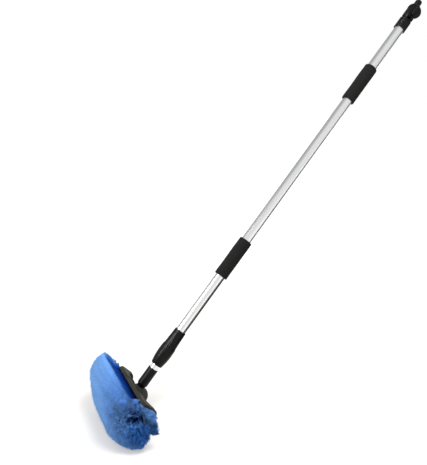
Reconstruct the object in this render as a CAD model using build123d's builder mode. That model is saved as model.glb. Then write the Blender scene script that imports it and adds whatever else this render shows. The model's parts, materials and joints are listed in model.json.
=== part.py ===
from build123d import *
from math import acos, atan2, cos, pi, radians, sin, sqrt
import os

# Telescopic flow-through wash brush, held with its working face upright and its
# lower bristle fringe down. All lengths are millimetres.
# The origin is the middle of the lower hand grip, on the pole's axis. +X runs along
# the brush head's long side, +Z is up, and the pole rises towards +Y.

# Attitude: the pole over the ground, the pole over the block, the valve knob round the pole
pole_rise = 48.0
socket_angle = 45.0
valve_clock = -22.0

# Fits shared by all pieces
running_gap = 0.06
seat_gap = 0.02
moving_gap = 0.30
overrun = 1.0

# Pole tubes
outer_radius = 12.7
outer_wall = 1.2
inner_radius = 11.0
inner_wall = 1.0
inner_length = 860.0
outer_bore = outer_radius - outer_wall
inner_bore = inner_radius - inner_wall

# Lengths along the pole, from the socket mouth to the hose end
connector_show = 57.5
inner_show = 11.5
nut_length = 55.0
collar_show = 45.0
lower_bare = 166.0
grip_length = 110.0
middle_bare = 455.0
upper_bare = 135.0
sleeve_length = 34.0
chamber_length = 37.0
nipple_length = 27.0

# Stations on the pole, counted from the socket mouth
nut_low = connector_show + inner_show
nut_high = nut_low + nut_length
collar_high = nut_high + collar_show
lower_grip_low = collar_high + lower_bare
upper_grip_low = lower_grip_low + grip_length + middle_bare
sleeve_low = upper_grip_low + grip_length + upper_bare
sleeve_high = sleeve_low + sleeve_length
chamber_high = sleeve_high + chamber_length
nipple_high = chamber_high + nipple_length
origin_station = lower_grip_low + grip_length / 2

# Head connector
connector_radius = 12.9
connector_socket = 37.0
connector_taper = 7.0
connector_round = 1.0
neck_radius = 9.9
neck_length = 6.0
nose_length = 12.0
water_radius = 5.0
spigot_length = 12.0

# Rubber rings
ring_section = 0.62
ring_room = 0.05
groove_width = 1.8

# Rivet through the head connector
rivet_radius = 1.6
rivet_head_radius = 3.0
rivet_head = 1.0
rivet_place = 12.0

# Lock nut and the clamp inside it
nut_low_radius = 14.4
nut_wide_radius = 18.6
nut_high_radius = 17.6
nut_wide_share = 0.74
nut_lip = 8.0
nut_cone_low = 13.0
nut_flutes = 6
nut_flute_radius = 9.0
nut_flute_depth = 0.8
nose_radius = 15.4
nose_reach = 22.0
collet_slit = 2.0
collet_gap = 0.12
wiper_length = 3.0
wiper_radius = 12.7
wiper_place = 2.0

# Collar on the outer tube
collar_low_radius = 16.7
collar_high_radius = 14.7
collar_flutes = 8
collar_flute_radius = 5.0
collar_flute_depth = 0.9
tube_shoulder = 8.0

# Piston on the top of the inner tube
piston_spigot = 20.0
piston_head = 14.0
piston_ring_places = (4.0, 10.0)
piston_edge = 0.4

# Foam grips
grip_radius = 17.2
grip_round = 5.0
grip_round_limit_share = 0.9

# Valve
sleeve_radius = 16.0
waist_radius = 13.2
waist_length = 5.0
chamber_radius = 15.4
tail_radius = 11.8
tail_length = 7.0
tube_seat = 27.0
tube_spigot = 18.0
boss_radius = 11.0
boss_height = 18.4
ball_radius = 9.4
ball_bore = 5.0
ball_place_share = 0.46
ball_room = 0.45
seat_depth = 3.6
seat_set = 6.3
slot_width = 3.0
slot_depth = 2.2
stem_radius = 4.0
stem_flange_radius = 5.2
stem_flange = 1.4
stem_square = 5.6
stem_top = 24.2
knob_radius = 19.6
knob_low = 18.9
knob_rim = 4.6
knob_round = 2.0
knob_ridge_length = 33.0
knob_ridge_width = 8.4
knob_ridge_height = 8.0
knob_ridge_round = 2.4

# Hose nipple
washer = 1.5
nipple_flange_radius = 11.4
nipple_flange = 3.0
nipple_groove = 6.5
nipple_groove_radius = 7.4
nipple_radius = 8.8
nipple_round = 3.2

# Brush block
block_length = 188.0
block_width = 70.0
block_corner = 9.0
block_edge = 8.0
block_crown = 23.0
skirt_wall = 2.6
visor_start = 40.0
visor_foot = 27.5
visor_apex = 37.0
visor_foot_round = 30.0
visor_apex_round = 11.0
pocket_depth = 9.0
pocket_width = 52.0
pocket_side = 10.0
pocket_apex = 29.0
pocket_apex_round = 8.0
backing_depth = 5.0
chamber_span = 150.0
chamber_width = 17.0
chamber_depth = 3.0
mouth_side = 15.0
mouth_height = 24.0
mouth_rise = 4.0
mouth_radius = 13.4
mouth_round = 1.6
boss_shoulder = 4.0
boss_dome = 19.0
boss_reach = 20.0
boss_back_radius = 20.0
boss_back_place = -4.0
boss_back_high = 42.0
boss_back_round = 17.0
thread_depth = 14.0
passage_depth = 25.0
well_length = 66.0
well_width = 78.0
well_back = 23.0
well_corner = 14.0
well_floor = 11.0
well_rim = 2.0
well_rim_height = 1.2
rib_radius = 6.0
rib_height = 19.0
bowl_radius = 20.0
bowl_wall = 3.0
bowl_rim = 2.2
bowl_floor = 14.5
gate_post_radius = 4.2
gate_post_rise = 2.4

# Bristles
tuft_columns = 15
tuft_rows = 7
end_columns = 2
side_rows = 2
bed_edge_share = 0.5
tuft_pitch_x = 12.2
tuft_pitch_y = 9.4
strand_step = 1.5
strand_root = 2.0
strand_tip = 3.6
strand_sink = 0.6
strand_aim_share = 0.25
backing_proud = 1.2
bristle_depth = 74.0
side_flat = 24.0
side_bend = 46.0
end_flat = 63.0
end_bend = 62.0
corner_trim_share = 0.07
corner_power = 4
tier_tufts = 5
tier_pitch = 10.0
tier_fan_share = 1.35
tier_height = 5.2
tier_reach = 35.0
tier_tip = 12.0
tier_spread = 10.0
riser_depth = 6.0
riser_height = 10.0
jet_radius = 1.4
jet_pairs = 5
jet_place_share = 0.5

# Directions: along the pole, out of the back of the brush block, and up its opened side
rise = radians(pole_rise)
block_rise = radians(pole_rise + socket_angle - 90)
pole_way = Vector(0, cos(rise), sin(rise))
block_way = Vector(0, cos(block_rise), sin(block_rise))
block_side = Vector(0, -sin(block_rise), cos(block_rise))
mouth = pole_way * -origin_station
pole_axis = Axis(origin=mouth, direction=pole_way)

# Planes: pole_section has radius and station as its x and y. The head planes start in
# the middle of the block's underside.
pole_section = Plane(origin=mouth, x_dir=(1, 0, 0), z_dir=(0, -sin(rise), cos(rise)))
head_middle = mouth - block_side * mouth_side - block_way * mouth_height
head = Plane(origin=head_middle, x_dir=(-1, 0, 0), z_dir=block_way)
head_cross = Plane(origin=head_middle, x_dir=block_side, z_dir=(-1, 0, 0))
head_long = Plane(origin=head_middle, x_dir=(-1, 0, 0), z_dir=block_side * -1)
ball_station = sleeve_high + chamber_length * ball_place_share
ball_middle = mouth + pole_way * ball_station
knob_way = Vector(1, 0, 0).rotate(Axis(origin=(0, 0, 0), direction=pole_way), valve_clock)
valve = Plane(origin=ball_middle, x_dir=pole_way, z_dir=knob_way)

os.makedirs("parts", exist_ok=True)


def across(station):
    """Plane square to the pole at a station."""
    return Plane(origin=mouth + pole_way * station, x_dir=(1, 0, 0), z_dir=pole_way)


def band(inner, outer, low, high):
    """Rectangle between two radii and two stations, in a section sketch."""
    with Locations(((inner + outer) / 2, (low + high) / 2)):
        Rectangle(outer - inner, high - low)


def finish(piece, name):
    """Label a finished piece and write it."""
    piece.part.label = name
    export_step(piece.part, f"parts/{name}.step")


def rubber_rings(name, radius, stations):
    """Round rubber rings about the pole, one at each station."""
    with BuildPart() as rings:
        with BuildSketch(pole_section):
            with Locations(*[(radius, station) for station in stations]):
                Circle(ring_section)
        revolve(axis=pole_axis)
    finish(rings, name)


# Outer tube and the two foam grips
tube_low = nut_high + tube_shoulder
tube_high = sleeve_low + tube_seat
with BuildPart() as outer_tube:
    with BuildSketch(pole_section):
        band(outer_bore, outer_radius, tube_low, tube_high)
    revolve(axis=pole_axis)
finish(outer_tube, "outer_tube")


def foam_grip(name, low):
    """Foam sleeve with rounded ends, pushed on to the outer tube."""
    with BuildPart() as grip:
        with BuildSketch(pole_section) as profile:
            band(outer_radius + seat_gap, grip_radius, low, low + grip_length)
            round_limit = (grip_radius - outer_radius) * grip_round_limit_share
            fillet(profile.vertices().group_by(Axis.X)[-1], min(grip_round, round_limit))
        revolve(axis=pole_axis)
    finish(grip, name)


foam_grip("lower_grip", lower_grip_low)
foam_grip("upper_grip", upper_grip_low)

# Inner tube, with the rivet's hole through its far side
inner_low = connector_show - connector_socket
inner_high = inner_low + inner_length
rivet_station = connector_show - rivet_place
rivet_hole = Plane(origin=mouth + pole_way * rivet_station, x_dir=pole_way, z_dir=(-1, 0, 0))
with BuildPart() as inner_tube:
    with BuildSketch(pole_section):
        band(inner_bore, inner_radius, inner_low, inner_high)
    revolve(axis=pole_axis)
    with BuildSketch(rivet_hole):
        Circle(rivet_radius + seat_gap)
    extrude(amount=inner_radius + overrun, mode=Mode.SUBTRACT)
finish(inner_tube, "inner_tube")

# Piston that closes the inner tube's top and seals it in the outer tube
piston_low = inner_high - piston_spigot
piston_high = inner_high + piston_head
piston_radius = outer_bore - running_gap
ring_outer = ring_section * 2 + ring_room
piston_groove_floor = outer_bore - ring_outer - ring_room
piston_rings = [inner_high + place for place in piston_ring_places]
with BuildPart() as piston:
    with BuildSketch(pole_section):
        band(water_radius, inner_bore - seat_gap, piston_low, inner_high)
        band(water_radius, piston_radius, inner_high, piston_high)
        for station in piston_rings:
            with Locations((piston_groove_floor + ring_outer, station)):
                Rectangle(ring_outer * 2, groove_width, mode=Mode.SUBTRACT)
    revolve(axis=pole_axis)
    chamfer(piston.edges().filter_by(GeomType.CIRCLE).sort_by(pole_axis)[-1:], piston_edge)
finish(piston, "piston")
rubber_rings("piston_rings", outer_bore - ring_room - ring_section, piston_rings)

# Head connector: threaded nose, neck, sleeve over the inner tube and a spigot inside it
spigot_radius = inner_bore - seat_gap
spigot_ring = inner_low + spigot_length / 2
spigot_groove_floor = inner_bore - ring_outer - ring_room
with BuildPart() as head_connector:
    with BuildSketch(pole_section):
        with BuildLine():
            Polyline(
                (water_radius, -nose_length),
                (neck_radius, -nose_length),
                (neck_radius, neck_length),
                (connector_radius, neck_length + connector_taper),
                (connector_radius, connector_show),
                (inner_radius + seat_gap, connector_show),
                (inner_radius + seat_gap, inner_low),
                (spigot_radius, inner_low),
                (spigot_radius, inner_low + spigot_length),
                (water_radius, inner_low + spigot_length),
                close=True,
            )
        make_face()
        with Locations((spigot_groove_floor + ring_outer, spigot_ring)):
            Rectangle(ring_outer * 2, groove_width, mode=Mode.SUBTRACT)
    revolve(axis=pole_axis)
    mouth_rim = head_connector.edges().filter_by(GeomType.CIRCLE).filter_by(
        lambda edge: abs(edge.radius - connector_radius) < seat_gap
    )
    fillet(mouth_rim, connector_round)
    with BuildSketch(rivet_hole):
        Circle(rivet_radius + seat_gap)
    extrude(amount=connector_radius + overrun, mode=Mode.SUBTRACT)
finish(head_connector, "head_connector")
rubber_rings("connector_ring", inner_bore - ring_room - ring_section, [spigot_ring])

with BuildPart() as connector_rivet:
    with BuildSketch(rivet_hole.offset(inner_bore + seat_gap)):
        Circle(rivet_radius)
    extrude(amount=connector_radius - inner_bore)
    with BuildSketch(rivet_hole.offset(connector_radius + seat_gap)):
        Circle(rivet_head_radius)
    extrude(amount=rivet_head)
    fillet(connector_rivet.faces().sort_by(Axis(origin=(0, 0, 0), direction=(-1, 0, 0)))[-1].edges(), rivet_head / 2)
finish(connector_rivet, "connector_rivet")

# Collar pressed on the outer tube, with the nose that the lock nut turns on
nose_low = nut_high - nose_reach
guide_radius = inner_radius + running_gap
shoulder = nut_high + moving_gap
with BuildPart() as collar:
    with BuildSketch(pole_section):
        with BuildLine():
            Polyline(
                (guide_radius, nose_low),
                (nose_radius, nose_low),
                (nose_radius, shoulder),
                (collar_low_radius, shoulder),
                (collar_high_radius, collar_high),
                (outer_radius + seat_gap, collar_high),
                (outer_radius + seat_gap, tube_low),
                (guide_radius, tube_low),
                close=True,
            )
        make_face()
    revolve(axis=pole_axis)
    with BuildSketch(across(shoulder)):
        with PolarLocations(collar_low_radius + collar_flute_radius - collar_flute_depth, collar_flutes):
            Circle(collar_flute_radius)
    extrude(amount=collar_show, mode=Mode.SUBTRACT)
finish(collar, "collar")

# Lock nut: a barrel with shallow finger flutes, a cone inside that closes the clamp
nut_bore = inner_radius + moving_gap
cone_low = nut_low + nut_lip
thread_radius = nose_radius + running_gap
wide_station = nut_low + nut_length * nut_wide_share
with BuildPart() as lock_nut:
    with BuildSketch(pole_section):
        with BuildLine():
            Polyline(
                (nut_low_radius, nut_low),
                (nut_bore, nut_low),
                (nut_bore, cone_low),
                (nut_cone_low, cone_low),
                (thread_radius, nose_low),
                (thread_radius, nut_high),
                (nut_high_radius, nut_high),
            )
            ThreePointArc(
                (nut_high_radius, nut_high),
                (nut_wide_radius, wide_station),
                (nut_low_radius, nut_low),
            )
        make_face()
        with Locations((nut_bore, nut_low + wiper_place + wiper_length / 2)):
            Rectangle((wiper_radius - nut_bore) * 2, wiper_length, mode=Mode.SUBTRACT)
    revolve(axis=pole_axis)
    with BuildSketch(across(nut_low)):
        with PolarLocations(nut_wide_radius + nut_flute_radius - nut_flute_depth, nut_flutes):
            Circle(nut_flute_radius)
    extrude(amount=nut_length, mode=Mode.SUBTRACT)
finish(lock_nut, "lock_nut")

with BuildPart() as wiper_seal:
    with BuildSketch(pole_section):
        band(
            guide_radius,
            wiper_radius - seat_gap,
            nut_low + wiper_place + seat_gap,
            nut_low + wiper_place + wiper_length - seat_gap,
        )
    revolve(axis=pole_axis)
finish(wiper_seal, "wiper_seal")

# Split clamp ring between the nut's cone and the collar's nose
with BuildPart() as clamp_ring:
    with BuildSketch(pole_section):
        with BuildLine():
            Polyline(
                (guide_radius, cone_low + collet_gap),
                (nut_cone_low - collet_gap, cone_low + collet_gap),
                (thread_radius - collet_gap * 2, nose_low - collet_gap),
                (guide_radius, nose_low - collet_gap),
                close=True,
            )
        make_face()
    revolve(axis=pole_axis)
    with BuildSketch(across(cone_low)):
        with Locations((-nose_radius / 2, 0)):
            Rectangle(nose_radius, collet_slit)
    extrude(amount=nose_low - cone_low, mode=Mode.SUBTRACT)
finish(clamp_ring, "clamp_ring")

# Valve body: sleeve over the outer tube, spigot inside it, ball chamber and knob boss
seat_bore = ball_radius + ball_room
knob_bore = stem_radius + running_gap
flange_bore = stem_flange_radius + running_gap
flange_low = seat_bore + seat_gap
flange_high = flange_low + stem_flange
chamber_low = ball_station - seat_set - seat_depth
tail_low = chamber_high - tail_length
with BuildPart() as valve_body:
    with BuildSketch(pole_section):
        with BuildLine():
            Polyline(
                (water_radius, tube_high - tube_spigot),
                (outer_bore - seat_gap, tube_high - tube_spigot),
                (outer_bore - seat_gap, tube_high),
                (outer_radius + seat_gap, tube_high),
                (outer_radius + seat_gap, sleeve_low),
                (sleeve_radius, sleeve_low),
                (sleeve_radius, sleeve_high - waist_length),
                (waist_radius, sleeve_high),
                (chamber_radius, sleeve_high + waist_length),
                (chamber_radius, tail_low - waist_length),
                (tail_radius, tail_low),
                (tail_radius, chamber_high),
                (water_radius, chamber_high),
                close=True,
            )
        make_face()
        with Locations((outer_bore - ring_room, tube_high - tube_spigot / 2)):
            Rectangle(ring_outer * 2, groove_width, mode=Mode.SUBTRACT)
    revolve(axis=pole_axis)
    with BuildSketch(valve):
        Circle(boss_radius)
    extrude(amount=boss_height)
    with BuildSketch(pole_section):
        band(0, seat_bore, chamber_low, chamber_high)
        band(0, water_radius, tube_high - tube_spigot, chamber_high)
    revolve(axis=pole_axis, mode=Mode.SUBTRACT)
    with BuildSketch(valve):
        Circle(knob_bore)
    extrude(amount=boss_height, mode=Mode.SUBTRACT)
    with BuildSketch(valve):
        Circle(flange_bore)
    extrude(amount=flange_high + seat_gap, mode=Mode.SUBTRACT)
finish(valve_body, "valve_body")
rubber_rings("tube_ring", outer_bore - ring_room - ring_section, [tube_high - tube_spigot / 2])

# Ball with its water bore and the slot for the stem's blade
with BuildPart(valve) as valve_ball:
    Sphere(ball_radius)
    with BuildSketch(across(ball_station - ball_radius)):
        Circle(ball_bore)
    extrude(amount=ball_radius * 2, mode=Mode.SUBTRACT)
    with BuildSketch(valve.offset(ball_radius - slot_depth)):
        Rectangle(ball_radius * 2, slot_width)
    extrude(amount=slot_depth, mode=Mode.SUBTRACT)
finish(valve_ball, "valve_ball")

# Two cupped seats, below and above the ball
cup_radius = ball_radius + running_gap
cup_start = atan2(seat_set, sqrt(cup_radius**2 - seat_set**2))
cup_end = acos(ball_bore / cup_radius)
with BuildPart() as ball_seats:
    with BuildSketch(pole_section):
        for side in (-1, 1):
            inner_face = ball_station + side * seat_set
            outer_face = inner_face + side * (seat_depth - seat_gap)
            cup = [
                (cup_radius * cos(turn), ball_station + side * cup_radius * sin(turn))
                for turn in (cup_start, (cup_start + cup_end) / 2, cup_end)
            ]
            with BuildLine():
                ThreePointArc(*cup)
                Polyline(
                    cup[2],
                    (ball_bore, outer_face),
                    (seat_bore - seat_gap, outer_face),
                    (seat_bore - seat_gap, inner_face),
                    cup[0],
                )
            make_face()
    revolve(axis=pole_axis)
finish(ball_seats, "ball_seats")

# Stem: blade in the ball's slot, flange under the boss, round shank, square for the knob
blade_low = ball_radius - slot_depth + seat_gap
stem_ring_place = (flange_high + boss_height) / 2
with BuildPart() as valve_stem:
    with BuildSketch(valve.offset(blade_low)):
        Rectangle(stem_radius * 2, slot_width - seat_gap * 2)
    extrude(amount=flange_low - blade_low)
    with BuildSketch(valve.offset(flange_low)):
        Circle(stem_flange_radius)
    extrude(amount=stem_flange)
    with BuildSketch(valve.offset(flange_high)):
        Circle(stem_radius)
    extrude(amount=boss_height - flange_high)
    with BuildSketch(valve.offset(stem_ring_place - groove_width / 2)):
        Circle(stem_radius + overrun)
        Circle(knob_bore - ring_outer - ring_room, mode=Mode.SUBTRACT)
    extrude(amount=groove_width, mode=Mode.SUBTRACT)
    with BuildSketch(valve.offset(boss_height)):
        Rectangle(stem_square, stem_square)
    extrude(amount=stem_top - boss_height)
finish(valve_stem, "valve_stem")

stem_section = Plane(origin=ball_middle, x_dir=pole_way, z_dir=pole_way.cross(knob_way))
with BuildPart() as stem_ring:
    with BuildSketch(stem_section):
        with Locations((knob_bore - ring_room - ring_section, stem_ring_place)):
            Circle(ring_section)
    revolve(axis=Axis(origin=ball_middle, direction=knob_way))
finish(stem_ring, "stem_ring")

# Round knob with a finger ridge that lies along the pole when the valve is open
with BuildPart() as valve_knob:
    with BuildSketch(valve.offset(knob_low)):
        Circle(knob_radius)
    extrude(amount=knob_rim)
    fillet(valve_knob.faces().sort_by(Axis(origin=ball_middle, direction=knob_way))[-1].edges(), knob_round)
    with BuildSketch(valve.offset(knob_low)):
        SlotOverall(knob_ridge_length, knob_ridge_width)
    extrude(amount=knob_rim + knob_ridge_height)
    ridge_top = valve_knob.faces().sort_by(Axis(origin=ball_middle, direction=knob_way))[-1]
    fillet(ridge_top.edges(), knob_ridge_round)
    with BuildSketch(valve.offset(knob_low)):
        Rectangle(stem_square + seat_gap * 2, stem_square + seat_gap * 2)
    extrude(amount=stem_top - knob_low + seat_gap, mode=Mode.SUBTRACT)
finish(valve_knob, "valve_knob")

# Hose nipple: plug in the valve chamber, flange, locking groove and rounded land
plug_low = ball_station + seat_set + seat_depth + seat_gap
flange_start = chamber_high + washer
groove_start = flange_start + nipple_flange
land_start = groove_start + nipple_groove
with BuildPart() as hose_nipple:
    with BuildSketch(pole_section):
        with BuildLine():
            Polyline(
                (water_radius, plug_low),
                (seat_bore - seat_gap, plug_low),
                (seat_bore - seat_gap, flange_start),
                (nipple_flange_radius, flange_start),
                (nipple_flange_radius, groove_start),
                (nipple_groove_radius, groove_start),
                (nipple_groove_radius, land_start),
                (nipple_radius, land_start + nipple_radius - nipple_groove_radius),
                (nipple_radius, nipple_high - nipple_round),
            )
            ThreePointArc(
                (nipple_radius, nipple_high - nipple_round),
                (
                    nipple_radius - nipple_round * (1 - sin(radians(45))),
                    nipple_high - nipple_round * (1 - sin(radians(45))),
                ),
                (nipple_radius - nipple_round, nipple_high),
            )
            Polyline(
                (nipple_radius - nipple_round, nipple_high),
                (water_radius, nipple_high),
                (water_radius, plug_low),
            )
        make_face()
    revolve(axis=pole_axis)
finish(hose_nipple, "hose_nipple")

with BuildPart() as nipple_washer:
    with BuildSketch(pole_section):
        band(seat_bore, nipple_flange_radius, chamber_high, flange_start)
    revolve(axis=pole_axis)
finish(nipple_washer, "nipple_washer")

# Brush block: a low crown over the bristles, opened underneath for the backing
half_length = block_length / 2
half_width = block_width / 2
chamber_top = backing_depth + chamber_depth
pocket_low = half_length - pocket_depth


def crown(raised):
    """The arched top of the block with a visor at each end, raised by a given height."""
    edge = block_edge + raised
    top = block_crown + raised
    side = half_width + overrun
    end = half_length + overrun
    arch_radius = (half_width**2 + (top - edge) ** 2) / (2 * (top - edge))
    with BuildPart() as body:
        with BuildSketch(head_cross):
            with Locations((0, top - arch_radius)):
                Circle(arch_radius)
            with Locations((0, top / 2)):
                Rectangle(side * 2, top, mode=Mode.INTERSECT)
        extrude(amount=end, both=True)
        for way in (-1, 1):
            for place, apex, apex_round in (
                (visor_start, visor_foot, visor_foot_round),
                (end, visor_apex, visor_apex_round),
            ):
                with BuildSketch(head_cross.offset(way * place)) as section:
                    Polygon((-side, 0), (-side, edge), (0, apex + raised), (side, edge), (side, 0), align=None)
                    fillet(section.vertices().sort_by(Axis.Y)[-1], apex_round)
            loft()
    return body.part


# Raised rims round the bowls behind the visors
bowl_middle = pocket_low - bowl_wall - bowl_radius
with BuildPart() as bowl_rims:
    add(crown(well_rim_height))
    with BuildSketch(head):
        for way in (-1, 1):
            with Locations((way * bowl_middle, 0)):
                Circle(bowl_radius + bowl_rim)
        for way in (-1, 1):
            with Locations((way * bowl_middle, 0)):
                Circle(bowl_radius, mode=Mode.SUBTRACT)
    extrude(amount=visor_apex + well_rim_height, mode=Mode.INTERSECT)

# Thin rim round the well, open towards the side that the handle leaves by
well_middle = well_width / 2 - well_back
with BuildPart() as well_lip:
    add(crown(well_rim_height))
    with BuildSketch(head):
        with Locations((0, well_middle)):
            RectangleRounded(well_length + well_rim * 2, well_width + well_rim * 2, well_corner + well_rim)
            RectangleRounded(well_length, well_width, well_corner, mode=Mode.SUBTRACT)
    extrude(amount=block_crown + well_rim_height, mode=Mode.INTERSECT)

# Barrel behind the handle socket, cut off at the socket's mouth
with BuildPart() as boss_back:
    with BuildSketch(head.offset(well_floor)):
        with Locations((0, boss_back_place)):
            Circle(boss_back_radius)
    extrude(amount=boss_back_high - well_floor)
    fillet(boss_back.faces().sort_by(Axis(origin=head_middle, direction=block_way))[-1].edges(), boss_back_round)
    with BuildSketch(across(mouth_rise)):
        Circle(boss_back_high)
    extrude(amount=boss_back_high, mode=Mode.SUBTRACT)

with BuildPart() as brush_block:
    add(crown(0))
    add(well_lip.part)
    with BuildSketch(head.offset(well_floor)):
        with Locations((0, well_middle)):
            RectangleRounded(well_length, well_width, well_corner)
    extrude(amount=block_crown, mode=Mode.SUBTRACT)
    add(bowl_rims.part)
    with BuildSketch(head.offset(bowl_floor)):
        for way in (-1, 1):
            with Locations((way * bowl_middle, 0)):
                Circle(bowl_radius)
    extrude(amount=visor_apex, mode=Mode.SUBTRACT)
    with BuildSketch(head):
        RectangleRounded(block_length, block_width, block_corner)
    extrude(amount=visor_apex + well_rim_height, mode=Mode.INTERSECT)

    # Water channel from the socket to the near bowl, and a gate post at the far bowl
    bowl_inner = bowl_middle - bowl_radius - bowl_rim / 2
    with BuildSketch(head_cross):
        with Locations((0, rib_height)):
            Circle(rib_radius)
    extrude(amount=-bowl_inner)
    with BuildSketch(head.offset(well_floor)):
        with Locations((bowl_inner, 0)):
            Circle(gate_post_radius)
    extrude(amount=block_crown + gate_post_rise - well_floor)

    # Handle socket along the pole, and the barrel with a domed top behind it
    add(boss_back.part)
    with BuildSketch(pole_section):
        with BuildLine():
            Line((0, mouth_rise), (mouth_radius - mouth_round, mouth_rise))
            TangentArc(
                (mouth_radius - mouth_round, mouth_rise),
                (mouth_radius, mouth_rise - mouth_round),
                tangent=(1, 0),
            )
            ThreePointArc(
                (mouth_radius, mouth_rise - mouth_round),
                (boss_dome - boss_shoulder / 2, -boss_shoulder / 2),
                (boss_dome, -boss_reach),
            )
            ThreePointArc(
                (boss_dome, -boss_reach),
                (boss_dome * sin(radians(45)), -boss_reach - boss_dome * sin(radians(45))),
                (0, -boss_reach - boss_dome),
            )
            Line((0, -boss_reach - boss_dome), (0, mouth_rise))
        make_face()
    revolve(axis=pole_axis)
    with BuildSketch(head):
        Rectangle(block_length, block_width)
    extrude(amount=-boss_dome * 2, mode=Mode.SUBTRACT)

    # Recess for the backing, water chamber above it, pockets for the end tufts
    with BuildSketch(head):
        RectangleRounded(
            block_length - skirt_wall * 2, block_width - skirt_wall * 2, block_corner - skirt_wall
        )
    extrude(amount=backing_depth, mode=Mode.SUBTRACT)
    with BuildSketch(head):
        Rectangle(chamber_span, chamber_width)
    extrude(amount=chamber_top, mode=Mode.SUBTRACT)
    for way in (-1, 1):
        with BuildSketch(head_cross.offset(way * pocket_low)) as arch:
            Polygon(
                (-pocket_width / 2, 0),
                (-pocket_width / 2, pocket_side),
                (0, pocket_apex),
                (pocket_width / 2, pocket_side),
                (pocket_width / 2, 0),
                align=None,
            )
            fillet(arch.vertices().sort_by(Axis.Y)[-1], pocket_apex_round)
        extrude(amount=way * (pocket_depth + overrun), mode=Mode.SUBTRACT)

    # Threaded bore and the water passage down into the chamber
    with BuildSketch(pole_section):
        band(0, neck_radius + running_gap, -thread_depth, mouth_rise + overrun)
        band(0, water_radius, -passage_depth, 0)
    revolve(axis=pole_axis, mode=Mode.SUBTRACT)
finish(brush_block, "brush_block")

with BuildPart() as socket_washer:
    with BuildSketch(pole_section):
        band(water_radius, neck_radius, -thread_depth, -nose_length)
    revolve(axis=pole_axis)
finish(socket_washer, "socket_washer")


# Bristles. Each tuft is four strands that start side by side in the backing and fan
# out. Their ends lie on a face that is flat in the middle and rounded towards its rim.
half_columns = (tuft_columns - 1) / 2
half_rows = (tuft_rows - 1) / 2
reach_x = (half_columns + bed_edge_share) * tuft_pitch_x
reach_y = (half_rows + bed_edge_share) * tuft_pitch_y
side_run = side_flat + side_bend * pi / 2
end_run = end_flat + end_bend * pi / 2


def fold(travel, flat, bend):
    """How far out and how far back a run over the flat face and round its edge comes."""
    turn = max((travel - flat) / bend, 0)
    return min(travel, flat) + bend * sin(turn), bend * (1 - cos(turn))


def strand_end(x, y):
    """Where the strand that aims at a place on the backing ends."""
    share_x = abs(x) / reach_x
    share_y = abs(y) / reach_y
    out_x, back_x = fold(share_x * end_run, end_flat, end_bend)
    out_y, back_y = fold(share_y * side_run, side_flat, side_bend)
    out_x = out_x * (1 - corner_trim_share * share_y**corner_power) * (1 if x > 0 else -1)
    out_y = out_y * (1 - corner_trim_share * share_x**corner_power) * (1 if y > 0 else -1)
    back = (back_x**corner_power + back_y**corner_power) ** (1 / corner_power)
    return Vector(out_x, out_y, back - bristle_depth)


def strand(start, end):
    """One four-sided strand that widens to its flagged tip."""
    root = head.from_local_coords(start)
    tip = head.from_local_coords(end)
    shaft = Plane(origin=root, x_dir=(1, 0, 0), z_dir=tip - root)
    with BuildPart() as piece:
        with BuildSketch(shaft):
            Rectangle(strand_root, strand_root)
        with BuildSketch(shaft.offset((tip - root).length)):
            Rectangle(strand_tip, strand_tip)
        loft()
    return piece.part


def tuft(column, row):
    """The four strands of one tuft."""
    x = (column - half_columns) * tuft_pitch_x
    y = (row - half_rows) * tuft_pitch_y
    strands = []
    for side_x in (-1, 1):
        for side_y in (-1, 1):
            start = Vector(x + side_x * strand_step, y + side_y * strand_step, strand_sink - backing_proud)
            aim_x = x + side_x * tuft_pitch_x * strand_aim_share
            aim_y = y + side_y * tuft_pitch_y * strand_aim_share
            end = strand_end(aim_x, aim_y)
            strands.append(strand(start, end))
    return strands


def end_tier(way):
    """The tufts that stand out of the riser in the pocket under a visor."""
    strands = []
    riser_face = pocket_low + seat_gap + riser_depth
    for index in range(tier_tufts):
        y = (index - (tier_tufts - 1) / 2) * tier_pitch
        for side_y in (-1, 1):
            for side_z in (-1, 1):
                start_y = y + side_y * strand_step
                start_z = tier_height + side_z * strand_step
                tip_y = y * tier_fan_share + side_y * tier_pitch * strand_aim_share
                tip_z = tier_tip + side_z * tier_spread
                start = Vector(way * (riser_face - strand_sink), start_y, start_z)
                end = Vector(way * (riser_face + tier_reach), tip_y, tip_z)
                strands.append(strand(start, end))
    return strands


def bristle_bed(name, columns, rows, low, high, jets=(), tier=0):
    """A slice of backing between two corners, with its tufts, water jets and end tier."""
    strands = []
    for column in columns:
        for row in rows:
            strands.extend(tuft(column, row))
    middle = ((low[0] + high[0]) / 2, (low[1] + high[1]) / 2)
    with BuildPart() as bed:
        with BuildSketch(head.offset(-backing_proud)):
            with Locations(middle):
                Rectangle(high[0] - low[0], high[1] - low[1])
            RectangleRounded(
                backing_length, backing_width, block_corner - skirt_wall, mode=Mode.INTERSECT
            )
        extrude(amount=backing_proud + backing_depth)
        if jets:
            with BuildSketch(head.offset(-backing_proud)):
                with Locations(*jets):
                    Circle(jet_radius)
            extrude(amount=backing_proud + backing_depth, mode=Mode.SUBTRACT)
        if tier:
            with BuildSketch(head_cross.offset(tier * (pocket_low + seat_gap))):
                with Locations((0, riser_height / 2)):
                    Rectangle(pocket_width - seat_gap * 2, riser_height)
            extrude(amount=tier * riser_depth)
            strands.extend(end_tier(tier))
        add(strands)
    finish(bed, name)


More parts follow.
